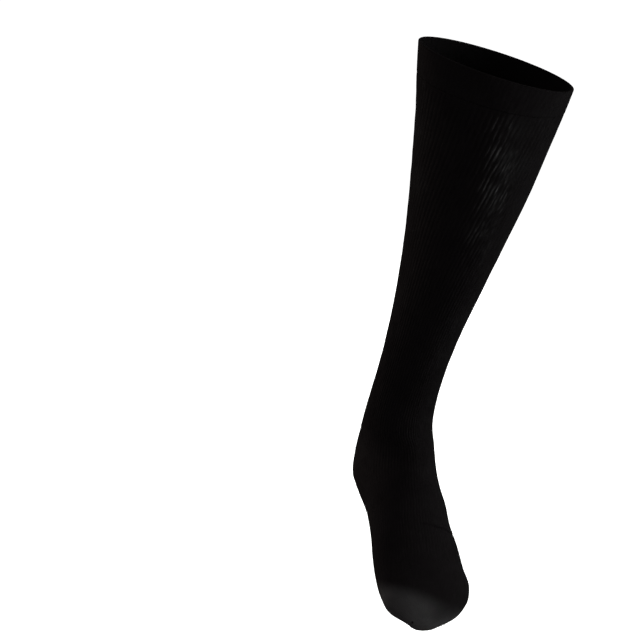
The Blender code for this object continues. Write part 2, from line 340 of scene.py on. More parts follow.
def skin(station, angle):
    """Points on the plain skin: an ellipse at each station, flatter under the sole. Past the last
    ring it closes over the tip as a shallow dome."""
    station, angle = np.broadcast_arrays(station, angle)
    sizes = sizes_at(np.minimum(station, LAST))
    front_x, front_z, back_x, back_z, half_width, centre_y, flatness = sizes
    left = 1 - np.clip((station - LAST) / TIP_RUN, 0.0, 1.0)
    across = np.sin(np.radians(angle)) * left
    forward = np.cos(np.radians(angle))
    depth = np.abs(forward)
    forward = np.where(forward < 0, -depth * (1 + flatness) / (1 + flatness * depth), forward)
    forward = forward * left
    middle_x = (front_x + back_x) / 2 + TIP_BULGE * (1 - left**2)
    middle_z = (front_z + back_z) / 2
    reach_x = (front_x - back_x) / 2 * forward
    reach_z = (front_z - back_z) / 2 * forward
    fade = np.clip(1 + middle_z / EDGE_SLOPE_FADE, 0, None) ** EDGE_SLOPE_POWER
    slope = EDGE_SIDE_SLOPE * half_width * across + EDGE_FRONT_SLOPE * reach_x
    return np.stack(
        (middle_x + reach_x, centre_y + half_width * across, middle_z + reach_z + fade * slope),
        axis=-1,
    )


def unit(vectors):
    """Vectors of the same directions, one long."""
    return vectors / np.linalg.norm(vectors, axis=-1, keepdims=True)


def directions(station, angle):
    """How the skin runs per millimetre of station and per degree, and its outward unit normal."""
    along = (skin(station + STEP, angle) - skin(station - STEP, angle)) / (2 * STEP)
    around = (skin(station, angle + STEP) - skin(station, angle - STEP)) / (2 * STEP)
    return along, around, unit(np.cross(along, around))


def raised(station, angle, height):
    """Points at a height over the skin, or under it if negative."""
    station, angle = np.broadcast_arrays(station, angle)
    _, _, out = directions(station, angle)
    return skin(station, angle) + out * np.broadcast_to(height, station.shape)[..., None]


# ---------------------------------------------------------------- the seams


def smooth_step(value):
    """0 below 0, 1 above 1, and a smooth rise between."""
    value = np.clip(value, 0.0, 1.0)
    return value * value * (3 - 2 * value)


def all_round(value):
    """A seam's station, or an edge's roll, that is the same at every angle."""
    return lambda angle: np.full_like(angle, value)


# The stocking's top edge, where the welt joins the leg, and the last ring, round the tip.
top_edge = all_round(0.0)
welt_seam = all_round(WELT_DEPTH)
tip_edge = all_round(LAST)

# An edge that rounds over, the doubled band's fold, and no rounding: one piece is knitted
# straight on from the other.
rolled = all_round(EDGE_ROLL)
folded = all_round(WELT_WALL / 2)
square = all_round(SQUARE_ROLL)


def heel_gore(angle):
    """How far the heel pocket opens: 0 in front of its corners, and 1 at the back."""
    from_back = np.abs(np.mod(angle, 360.0) - 180.0)
    opening = np.cos(np.radians(90.0 * from_back / HEEL_REACH))
    return np.where(from_back < HEEL_REACH, opening, 0.0)


def rolled_at_heel(angle):
    """An edge that rounds over beside the heel pocket and is square in front of its corners."""
    return SQUARE_ROLL + (EDGE_ROLL - SQUARE_ROLL) * smooth_step(heel_gore(angle) * ROLL_RISE)


def leg_seam(angle):
    """The station of the leg's lower edge, which climbs over the heel pocket."""
    return station_of("heel_back") - HEEL_RISE * heel_gore(angle)


def foot_seam(angle):
    """The station of the foot's first edge, which passes under the heel pocket."""
    return station_of("heel_back") + HEEL_RUN * heel_gore(angle)


def toe_seam(angle):
    """The station of the toe cap's edge, further forward on the outer side."""
    return station_of("toe_root") - TOE_BACK + TOE_SLANT * np.sin(np.radians(angle))


def tone_line(angle):
    """The station where the toe cap's yarn is half way from the leg's black to charcoal."""
    turn = np.radians(angle)
    return TONE_MIDDLE + TONE_ASIDE * np.sin(turn) + TONE_ABOVE * np.cos(turn)


def cut_edge(seam, angle, side, gap):
    """Stations that keep half the gap from a seam line, before it (-1) or past it (1)."""
    station = seam(angle)
    along, around, _ = directions(station, angle)
    run = np.linalg.norm(along, axis=-1)
    turn = np.linalg.norm(around, axis=-1)
    climb = (seam(angle + STEP) - seam(angle - STEP)) / (2 * STEP) * run / turn
    return station + side * gap / 2 * np.sqrt(1 + climb**2) / run


# ---------------------------------------------------------------- the relief


def soft_noise(station, angle, sorts):
    """Smooth noise, added up from some sorts of waves."""
    total = 0.0
    for height, knot, count, seed in sorts:
        rows = int(LAST / knot) + 3
        values = np.random.default_rng(seed).uniform(-1.0, 1.0, (rows, count))
        row = np.clip(station, 0.0, LAST) / knot
        column = np.mod(angle, 360.0) / 360.0 * count
        i, j = row.astype(int), column.astype(int)
        down, round_ = smooth_step(row - i), smooth_step(column - j)
        j, k = j % count, (j + 1) % count
        near = values[i, j] * (1 - round_) + values[i, k] * round_
        far = values[i + 1, j] * (1 - round_) + values[i + 1, k] * round_
        total = total + height * (near * (1 - down) + far * down)
    return total


def turn_from(angle, middle):
    """How far an angle is past a middle one, from -180 to 180."""
    return np.mod(angle - middle + 180.0, 360.0) - 180.0


def crease_heights(station, angle):
    """The creases' heights over the skin, all added up."""
    total = np.zeros(np.broadcast(station, angle).shape)
    for crease in CREASES:
        turn = turn_from(angle, crease.angle)
        share = turn / crease.reach
        middle = crease.station + crease.tilt * turn - crease.bow * share**2
        across = (station - middle) / crease.width
        ripple = 1 + RIPPLE * np.sin(RIPPLES * share + crease.station)
        trough = -np.exp(-(across**2))
        lower = LOWER_RIDGE * np.exp(-((across - RIDGE_AWAY) ** 2))
        upper = UPPER_RIDGE * np.exp(-((across + RIDGE_AWAY) ** 2))
        fade = smooth_step(1 - np.abs(share)) * ripple
        total += crease.depth * fade * (trough + (lower + upper))
    return total


def instep_share(angle):
    """1 over the instep, 0 under the sole, with a short fade between."""
    from_front = 180.0 - np.abs(np.mod(angle, 360.0) - 180.0)
    return np.clip((SOLE_FROM - from_front) / (SOLE_FROM - RIBS_TO), 0.0, 1.0)


def rib_heights(station, angle, knit):
    """The knitted ribs: round crests and narrow valleys, each rib a little unlike the next."""
    place = np.mod(angle / 360.0 * RIB_COUNT, 1.0)
    crest, valley = knit.rib_crest / MM, knit.rib_valley / MM
    each = 1 + knit.rib_unevenness * soft_noise(station, angle, RIB_WAVES)
    return -valley + (crest + valley) * each * np.sin(np.pi * place) ** RIB_ROUND


def twist(station):
    """How far the pulled-on leg is turned, in degrees: most at the top, not at all at the ankle."""
    past = np.clip((station - TWIST_FULL) / (TWIST_END - TWIST_FULL), 0.0, 1.0)
    straight = np.clip(station, 0.0, TWIST_FULL)
    run = (TWIST_END - TWIST_FULL) * (past - past**2 / 2)
    whole = TWIST_FULL + (TWIST_END - TWIST_FULL) / 2
    return TWIST_RATE * (whole - straight - run)


def below_welt(station):
    """0 in the welt, rising to 1 where the ribs are full."""
    return smooth_step((station - WELT_DEPTH) / RIBS_RISE)


def before_toe(station, angle):
    """1 where the ribs are full, falling to 0 at the toe cap."""
    return smooth_step((toe_seam(angle) - station) / RIBS_SINK)


def ribbed_share(station, angle):
    """1 where the cloth is ribbed, 0 where it is plain: the welt, the sole and the toe cap."""
    on_foot = smooth_step((station - foot_seam(angle)) / RIBS_STOP)
    plain = on_foot * (1 - instep_share(angle))
    return below_welt(station) * before_toe(station, angle) * (1 - plain)


def shine_share(station, angle):
    """How much the cloth shines and is painted paler as a highlight: most in spots on the calf,
    least on the foot.
    """
    down = smooth_step((station - CALF_SHINE) / (FOOT_DULL - CALF_SHINE))
    from_top = smooth_step(station / TOP_DULL)
    # The share by station, for the gloss and for the painted highlight.
    painted_highlight = (DULL + (1 - DULL) * (1 - down)) * (DULL + (1 - DULL) * from_top)
    spots = np.full(station.shape, BETWEEN_SPOTS)
    for spot in SPOTS:
        turn = turn_from(angle, spot.angle)
        away = ((station - spot.station) / spot.down) ** 2 + (turn / spot.round) ** 2
        spots += spot.strength * np.exp(-away)
    return painted_highlight * np.minimum(spots, 1.0)


def cloth_relief(station, angle, knit):
    """Creases and unevenness together, without ribs."""
    return (
        knit.crease_strength * crease_heights(station, angle)
        + knit.unevenness / MM * soft_noise(station, angle, CLOTH_WAVES)
    )


# ---------------------------------------------------------------- meshes

Lattice = namedtuple("Lattice", "station angle height")
Edge = namedtuple("Edge", "seam roll")

# What each point of the cloth carries: how far its yarn is charcoal, how far it lies in the
# ribbed part, how much it shines and is painted paler as a highlight, and how much painted shade
# its fold gives it.
Shades = namedtuple("Shades", "charcoal ribbed shine fold")


def shades_of(lattice, ribbed, charcoal):
    """The shades of a lattice of cloth. Charcoal is the length over which it turns so, or 0."""
    station, angle = np.broadcast_arrays(lattice.station, lattice.angle)
    blank = np.zeros(station.shape)
    return Shades(
        smooth_step((station - tone_line(angle)) / charcoal + 0.5) if charcoal else blank,
        ribbed_share(station, angle) if ribbed else blank,
        shine_share(station, angle),
        # Painted shade: full in a crease's trough this deep.
        smooth_step(-crease_heights(station, angle) / CREASE_SHADE_DEPTH),
    )


def rolled_rows(station, outer, inner, depth, end, count):
    """Rows that turn a wall round an edge: from its outer to its inner face at the end (1) or
    from its inner to its outer face at the start (-1)."""
    turns = np.radians(np.linspace(0.0, 180.0, count + 2)[1:-1])[:, None]
    middle, radius = (outer + inner) / 2, (outer - inner) / 2
    stations = station - end * depth * (1 - np.sin(turns))
    return stations, middle + end * radius * np.cos(turns)


def spaced_rows(first, last, count):
    """Stations from one edge to another in even rows, with one more row close to each edge."""
    share = np.linspace(0.0, 1.0, count - 2)[:, None]
    even = first * (1 - share) + last * share
    close = np.minimum(EDGE_ROW, (last - first) / 4)
    return np.concatenate((even[:1], even[:1] + close, even[1:-1], even[-1:] - close, even[-1:]))


def wall_lattice(edges, angle, rows, relief, thickness, knit, roll_rows=EDGE_ROWS):
    """A closed wall between two edges: down its outside, round its lower edge, up its inside
    and round its upper edge. Relief gives the outer height at a station and an angle."""
    first, last = edges
    top = cut_edge(first.seam, angle, 1, knit.seam_gap / MM)
    bottom = cut_edge(last.seam, angle, -1, knit.seam_gap / MM)
    top_roll, bottom_roll = first.roll(angle), last.roll(angle)
    station = spaced_rows(top + top_roll, bottom - bottom_roll, rows[0])
    outer = relief(station, angle)
    inside = spaced_rows(top + top_roll, bottom - bottom_roll, rows[1])[::-1]
    inner = knit.crease_strength * crease_heights(inside, angle) - thickness
    lower = rolled_rows(bottom, outer[-1], inner[0], bottom_roll, 1, roll_rows)
    upper = rolled_rows(top, outer[0], inner[-1], top_roll, -1, roll_rows)
    blank = np.zeros((roll_rows, len(angle)))
    drift = [
        soft_noise(face, angle, DRIFT_WAVES) * smooth_step((face - top) / DRIFT_FADE)
        * smooth_step((bottom - face) / DRIFT_FADE)
        for face in (station, inside)
    ]
    stations = np.concatenate((station, lower[0], inside, upper[0]))
    return Lattice(
        stations,
        angle + np.concatenate((drift[0], blank, drift[1], blank)) + twist(stations),
        np.concatenate((outer, lower[1], inner, upper[1])),
    )


def lattice_faces(rows, columns, rows_close, columns_close):
    """The row and the column of each corner of a lattice's four-sided faces."""
    row = np.arange(rows if rows_close else rows - 1)[:, None]
    column = np.arange(columns if columns_close else columns - 1)[None, :]
    row, column = np.broadcast_arrays(row, column)
    corner_rows = np.stack((row, row + 1, row + 1, row), axis=-1).reshape(-1, 4)
    corner_columns = np.stack((column, column, column + 1, column + 1), axis=-1).reshape(-1, 4)
    return corner_rows, corner_columns


def to_frame(points):
    """Points in the frame, in metres, from points in the stocking's own axes."""
    pose = Euler((0.0, math.radians(LEAN), math.radians(TURN_OUT - 90.0)), "ZYX").to_matrix()
    return points @ np.array(pose).T * MM


def add_object(name, data):
    """Adds an object to the scene."""
    added = bpy.data.objects.new(name, data)
    bpy.context.scene.collection.objects.link(added)
    return added


def make_piece(name, points, faces, corner_stitches, shades, material):
    """Makes an object whose mesh carries its stitch map and its shades, and rides on the body."""
    mesh = bpy.data.meshes.new(name)
    mesh.from_pydata(to_frame(points).tolist(), [], faces)
    mesh.shade_smooth()
    mesh.set_sharp_from_angle(angle=math.radians(SHARP))
    stitches = mesh.uv_layers.new(name="stitches")
    stitches.uv.foreach_set("vector", np.asarray(corner_stitches, dtype=np.float32).ravel())
    for shade, values in shades._asdict().items():
        layer = mesh.attributes.new(shade, "FLOAT", "POINT")
        layer.data.foreach_set("value", np.asarray(values, dtype=np.float32))
    mesh.materials.append(material)
    mesh.validate()
    piece = add_object(name, mesh)
    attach(piece, BODY)
    return piece


def make_cloth(name, lattice, nominal, shades, material, columns_close=True, poles=()):
    """Makes a piece of knitted cloth from a lattice. Nominal is each column's angle before it
    drifts. Poles are the points that close a lattice whose rows don't run back to their start."""
    points = raised(lattice.station, lattice.angle, lattice.height).reshape(-1, 3)
    rows, columns = lattice.station.shape
    row, column = lattice_faces(rows, columns, not poles, columns_close)
    faces = ((row % rows) * columns + column % columns).tolist()
    wale = nominal * (RIB_COUNT * WALES_PER_RIB / 360.0)
    step = wale[1] - wale[0]
    down = lattice.station[row % rows, column % columns] / COURSE
    corners = np.stack((wale[0] + step * column, down), axis=-1).reshape(-1, 2)
    shades = Shades(*(values.reshape(-1) for values in shades))
    for pole, end in zip(poles, (0, rows - 1)):
        points = np.concatenate((points, [pole]))
        shades = Shades(*(np.append(values, values[end * columns]) for values in shades))
        near = end * columns + np.arange(columns)
        far = end * columns + (np.arange(columns) + 1) % columns
        edge = wale[0] + step * np.arange(columns)
        sides = edge, edge + step
        if end:
            near, far, sides = far, near, sides[::-1]
        tip = np.full(columns, len(points) - 1)
        faces += np.stack((tip, near, far), axis=-1).tolist()
        station = lattice.station[end] / COURSE
        fan = [
            np.stack((edge + step / 2, station + 1), axis=-1),
            np.stack((sides[0], station), axis=-1),
            np.stack((sides[1], station), axis=-1),
        ]
        corners = np.concatenate((corners, np.stack(fan, axis=1).reshape(-1, 2)))
    return make_piece(name, points, faces, corners, shades, material)


def angles_round(count):
    """Angles of that many points, evenly round the stocking."""
    return np.arange(count) * 360.0 / count


def make_bead(length, width, thickness):
    """The points and the faces of one small stitch, a long bead with a point at each end."""
    latitude = np.radians(np.linspace(-90.0, 90.0, BEAD_RINGS + 2)[1:-1])
    longitude = np.radians(angles_round(BEAD_SPOKES))
    latitude, longitude = np.meshgrid(latitude, longitude, indexing="ij")
    rings = (
        np.sin(latitude) * length / 2,
        np.cos(latitude) * np.cos(longitude) * width / 2,
        np.cos(latitude) * np.sin(longitude) * thickness / 2,
    )
    ends = np.array([[-length / 2, 0.0, 0.0], [length / 2, 0.0, 0.0]])
    ring, spoke = lattice_faces(BEAD_RINGS, BEAD_SPOKES, False, True)
    faces = (ring * BEAD_SPOKES + spoke % BEAD_SPOKES).tolist()
    start = BEAD_RINGS * BEAD_SPOKES
    for spoke in range(BEAD_SPOKES):
        after = (spoke + 1) % BEAD_SPOKES
        faces.append([start, spoke, after])
        faces.append([start + 1, start - BEAD_SPOKES + after, start - BEAD_SPOKES + spoke])
    return np.concatenate((np.stack(rings, axis=-1).reshape(-1, 3), ends)), faces


def make_stitches(name, station, angle, stitch, material):
    """Makes a row of small stitches along a line on the skin, one at each station and angle."""
    station, angle = np.broadcast_arrays(station, angle)
    points = raised(station, angle, stitch.height)
    line = unit(np.gradient(points, axis=0))
    _, _, out = directions(station, angle)
    side = unit(np.cross(out, line))
    turn = math.radians(stitch.slant)
    ahead = line * math.cos(turn) + side * math.sin(turn)
    beside = side * math.cos(turn) - line * math.sin(turn)
    axes = np.stack((ahead, beside, np.cross(ahead, beside)), axis=1)
    charcoal = np.full(len(points), stitch.charcoal)
    if stitch.knot:
        axes[[0, -1]] *= np.array([[1.0], [stitch.knot], [1.0]])
        # Knots keep the black yarn: a real dark knot, and partly painted shade for the hole at the
        # seam's end.
        charcoal[[0, -1]] = 0.0
    bead, bead_faces = make_bead(*stitch.size)
    faces = []
    corners = []
    for i in range(len(points)):
        along = i * stitch.size[0]
        for face in bead_faces:
            faces.append([i * len(bead) + corner for corner in face])
            corners.extend((bead[corner][0] + along, bead[corner][1]) for corner in face)
    blank = np.zeros(len(points) * len(bead))
    shades = Shades(np.repeat(charcoal, len(bead)), blank, blank, blank)
    points = ((bead @ axes) + points[:, None, :]).reshape(-1, 3)
    return make_piece(name, points, faces, corners, shades, material)


# ---------------------------------------------------------------- settings

LENGTH = {"min": 0.0, "unit": "LENGTH", "precision": 6}
COLOUR = {"min": 0.0, "max": 1.0, "subtype": "COLOR"}


class StockingKnit(bpy.types.PropertyGroup):
    """The relief of the knitted cloth."""

    rib_crest: bpy.props.FloatProperty(
        name="Rib crest", description="Height of a rib over the skin", default=0.25 * MM, **LENGTH
    )
    rib_valley: bpy.props.FloatProperty(
        name="Rib valley", description="Depth between two ribs under the skin",
        default=0.20 * MM, **LENGTH
    )
    rib_unevenness: bpy.props.FloatProperty(
        name="Rib unevenness", description="How much one rib differs from the next",
        default=0.28, min=0.0, max=1.0, subtype="FACTOR",
    )
    crease_strength: bpy.props.FloatProperty(
        name="Creases", description="Strength of the creases",
        default=1.0, min=0.0, max=2.0, subtype="FACTOR",
    )
    unevenness: bpy.props.FloatProperty(
        name="Unevenness", description="Height of the low waves in the cloth",
        default=0.22 * MM, **LENGTH
    )
    seam_gap: bpy.props.FloatProperty(
        name="Seam gap", description="Space between two pieces at a seam",
        default=0.006 * MM, **LENGTH
    )
    stitch_depth: bpy.props.FloatProperty(
        name="Stitch depth", description="Depth of the knitted loops",
        default=0.08 * MM, **LENGTH
    )


class StockingYarn(bpy.types.PropertyGroup):
    """The colours and the finish of the yarn."""

    # Painted shade: the yarn runs from this dark colour between the loops and in the rib valleys to
    # the light one on top of them.
    dark: bpy.props.FloatVectorProperty(
        name="Yarn, dark", description="Colour between the loops and in the valleys",
        default=(0.0060, 0.0045, 0.0050), **COLOUR
    )
    light: bpy.props.FloatVectorProperty(
        name="Yarn, light", description="Colour on top of the loops",
        default=(0.0144, 0.0121, 0.0128), **COLOUR
    )
    # Painted highlight: where the yarn shines in its spots, it is blended towards this paler
    # colour.
    painted_highlight: bpy.props.FloatVectorProperty(
        name="Yarn, stretched", description="Colour where the cloth is stretched thin and pales",
        default=(0.0290, 0.0285, 0.0285), **COLOUR
    )
    # Painted shade between the toe cap's loops, as in the leg's yarn.
    toe_dark: bpy.props.FloatVectorProperty(
        name="Toe yarn, dark", description="Colour between the toe cap's loops",
        default=(0.032, 0.0295, 0.0303), **COLOUR
    )
    toe_light: bpy.props.FloatVectorProperty(
        name="Toe yarn, light", description="Colour on top of the toe cap's loops",
        default=(0.067, 0.0620, 0.0636), **COLOUR
    )
    toe_fade: bpy.props.FloatProperty(
        name="Toe fade", description="Length over which the leg's yarn gives way to the toe's",
        default=20.0 * MM, **LENGTH
    )


class StockingStudio(bpy.types.PropertyGroup):
    """The floor, the lights and the camera."""

    floor_drop: bpy.props.FloatProperty(
        name="Floor drop", description="Distance from the toes down to the floor",
        default=0.30, min=0.0, unit="LENGTH",
    )
    floor_colour: bpy.props.FloatVectorProperty(
        name="Floor", description="Colour of the floor", default=(0.93, 0.93, 0.93), **COLOUR
    )
    floor_bounce: bpy.props.FloatVectorProperty(
        name="Floor bounce", description="Colour of the floor as the stocking sees it",
        default=(0.18, 0.18, 0.18), **COLOUR
    )
    floor_glow: bpy.props.FloatProperty(
        name="Floor glow", description="Light of the floor's own that only the camera sees",
        default=0.85, min=0.0,
    )
    daylight: bpy.props.FloatProperty(
        name="Surrounding light", description="Strength of the white surroundings",
        default=0.14, min=0.0,
    )
    overhead_power: bpy.props.FloatProperty(
        name="Overhead light", description="Strength of the soft light from above",
        default=0.32, min=0.0,
    )
    overhead_softness: bpy.props.FloatProperty(
        name="Overhead softness", description="Width of the overhead light, seen from the floor",
        default=math.radians(50.0), min=0.0, max=math.pi, unit="ROTATION",
    )
    lamp_strength: bpy.props.FloatProperty(
        name="Lamps", description="Strength of the lamps, against their own power",
        default=1.0, min=0.0,
    )
    lens: bpy.props.FloatProperty(
        name="Lens", description="Focal length of the camera",
        default=77.97, min=1.0, unit="CAMERA",
    )


# ---------------------------------------------------------------- materials

# Each cloth's finish: its roughness, its gloss and how rough that is, the sheen of its nap, how
# much painted shade darkens its valleys between ribs, and how far its loops lean.
Finish = namedtuple("Finish", "roughness gloss gloss_roughness sheen ribs loop_lean")
FINISHES = {
    "welt": Finish(0.80, 0.26, 0.30, 0.004, 0.0, 0.55),
    "leg": Finish(0.80, 0.50, 0.22, 0.004, 0.15, 0.55),
    "heel": Finish(0.85, 0.15, 0.45, 0.005, 0.0, 0.60),
    "foot": Finish(0.80, 0.16, 0.26, 0.003, 0.05, 0.55),
    "toe": Finish(0.80, 0.10, 0.45, 0.005, 0.0, 0.60),
    "thread": Finish(0.75, 0.05, 0.40, 0.004, 0.0, 0.50),
}
SHEEN_ROUGHNESS = 0.5

# What powers round a loop's strands and arms, how high an arm's ends are, and how softly a loop's
# top levels out, which also shapes the painted shade between loops. A deep fold takes this share
# of the tone away as painted shade. Fuzz and loops change the roughness by so much, and fuzz the
# height. Streaks run along the wales, scaled so across and down them, and the glossy dashes start
# at this value of the streaks.
STRAND_ROUND = 0.6
ARM_ROUND = 0.5
ARM_LOW = 0.4
LOOP_SOFT = 0.2
CREASE_PAINTED_SHADE = 0.8
FUZZ_ROUGHNESS = 0.16
LOOP_ROUGHNESS = 0.06
FUZZ_HEIGHT = 0.25
STREAK_SCALE = (0.9, 0.09, 1.0)
DASH_FROM = 0.45
DASH_SHARPNESS = 6.0


def calculate(tree, operation, *values, clamp=False):
    """Adds a Math node with links or numbers for inputs, and returns its output."""
    node = tree.nodes.new("ShaderNodeMath")
    node.operation = operation
    node.use_clamp = clamp
    for socket, value in zip(node.inputs, values):
        connect(tree, value, socket)
    return node.outputs[0]


def connect(tree, value, socket):
    """Links a socket to another node's output, or sets it to a plain value."""
    if isinstance(value, bpy.types.NodeSocket):
        tree.links.new(value, socket)
    else:
        socket.default_value = value


def blend_colours(tree, share, dark, light):
    """Mixes two colours, each given as a value or a link."""
    node = tree.nodes.new("ShaderNodeMix")
    node.data_type = "RGBA"
    tree.links.new(share, node.inputs["Factor"])
    for socket, colour in ((node.inputs[6], dark), (node.inputs[7], light)):
        linked = isinstance(colour, bpy.types.NodeSocket)
        connect(tree, colour if linked else (*colour, 1.0), socket)
    return node.outputs[2]


def new_group(name, inputs, outputs):
    """Starts a shader node group with named sockets, and returns it with its two end nodes."""
    group = bpy.data.node_groups.new(name, "ShaderNodeTree")
    for label, kind in inputs.items():
        group.interface.new_socket(name=label, in_out="INPUT", socket_type="NodeSocket" + kind)
    for label in outputs:
        group.interface.new_socket(name=label, in_out="OUTPUT", socket_type="NodeSocketFloat")
    return group, group.nodes.new("NodeGroupInput"), group.nodes.new("NodeGroupOutput")


def knit_group(name):
    """Knitted loops: each wale is a column of V shapes, two leaning strands that meet in it."""
    group, start, end = new_group(
        name, {"Stitches": "Vector", "Lean": "Float"}, ["Height", "Yarn"]
    )
    split = group.nodes.new("ShaderNodeSeparateXYZ")
    group.links.new(start.outputs["Stitches"], split.inputs[0])
    place = calculate(group, "FRACT", split.outputs["X"])
    aside = calculate(group, "ABSOLUTE", calculate(group, "SUBTRACT", place, 0.5))
    aside = calculate(group, "MULTIPLY", aside, 2.0)
    leant = calculate(group, "MULTIPLY_ADD", aside, start.outputs["Lean"], split.outputs["Y"])
    strand = calculate(group, "FRACT", leant)
    strand = calculate(group, "SINE", calculate(group, "MULTIPLY", strand, math.pi))
    strand = calculate(group, "POWER", strand, STRAND_ROUND)
    arm = calculate(group, "SINE", calculate(group, "MULTIPLY", aside, math.pi))
    arm = calculate(group, "POWER", calculate(group, "ABSOLUTE", arm), ARM_ROUND)
    arm = calculate(group, "MULTIPLY_ADD", arm, 1.0 - ARM_LOW, ARM_LOW)
    height = calculate(group, "MULTIPLY", strand, arm)
    group.links.new(height, end.inputs["Height"])
    # The Yarn output is the loops' tone, lower between them, which the materials use as painted
    # shade.
    group.links.new(calculate(group, "SMOOTH_MIN", height, 1.0, LOOP_SOFT), end.inputs["Yarn"])
    return group


def add_noise(group, place, scale, detail):
    """Adds a noise texture, and returns its value."""
    node = group.nodes.new("ShaderNodeTexNoise")
    node.inputs["Scale"].default_value = scale
    node.inputs["Detail"].default_value = detail
    group.links.new(place, node.inputs["Vector"])
    return node.outputs["Fac"]


def yarn_group(name):
    """The yarn's own variation: slow patches of tone, short fuzz, and streaks along the wales."""
    group, start, end = new_group(
        name, {"Place": "Vector", "Stitches": "Vector"}, ["Patches", "Fuzz", "Streaks"]
    )
    patches = add_noise(group, start.outputs["Place"], scale=38.0, detail=3.0)
    fuzz = add_noise(group, start.outputs["Place"], scale=2400.0, detail=2.0)
    stretch = group.nodes.new("ShaderNodeVectorMath")
    stretch.operation = "MULTIPLY"
    stretch.inputs[1].default_value = STREAK_SCALE
    group.links.new(start.outputs["Stitches"], stretch.inputs[0])
    streaks = add_noise(group, stretch.outputs[0], scale=1.0, detail=3.0)
    for output, value in (("Patches", patches), ("Fuzz", fuzz), ("Streaks", streaks)):
        group.links.new(value, end.inputs[output])
    return group


def rib_group(name):
    """Where a stitch lies on its rib: 1 on the crest, 0 in the valley."""
    group, start, end = new_group(name, {"Stitches": "Vector"}, ["Crest"])
    split = group.nodes.new("ShaderNodeSeparateXYZ")
    group.links.new(start.outputs["Stitches"], split.inputs[0])
    ribs = calculate(group, "DIVIDE", split.outputs["X"], WALES_PER_RIB)
    place = calculate(group, "FRACT", ribs)
    crest = calculate(group, "SINE", calculate(group, "MULTIPLY", place, math.pi))
    group.links.new(crest, end.inputs["Crest"])
    return group


def place_group(tree, name, build, **inputs):
    """Adds a shared node group to a material, built the first time that it is asked for."""
    node = tree.nodes.new("ShaderNodeGroup")
    node.node_tree = bpy.data.node_groups.get(name) or build(name)
    for label, value in inputs.items():
        connect(tree, value, node.inputs[label])
    return node


def new_material(name):
    """Starts a material, and returns it with its node tree and its shader."""
    material = bpy.data.materials.new(name)
    material.use_nodes = True
    return material, material.node_tree, material.node_tree.nodes["Principled BSDF"]


def cloth_shade(tree, name):
    """A shade that the cloth's points carry."""
    node = tree.nodes.new("ShaderNodeAttribute")
    node.attribute_name = name
    return node.outputs["Fac"]


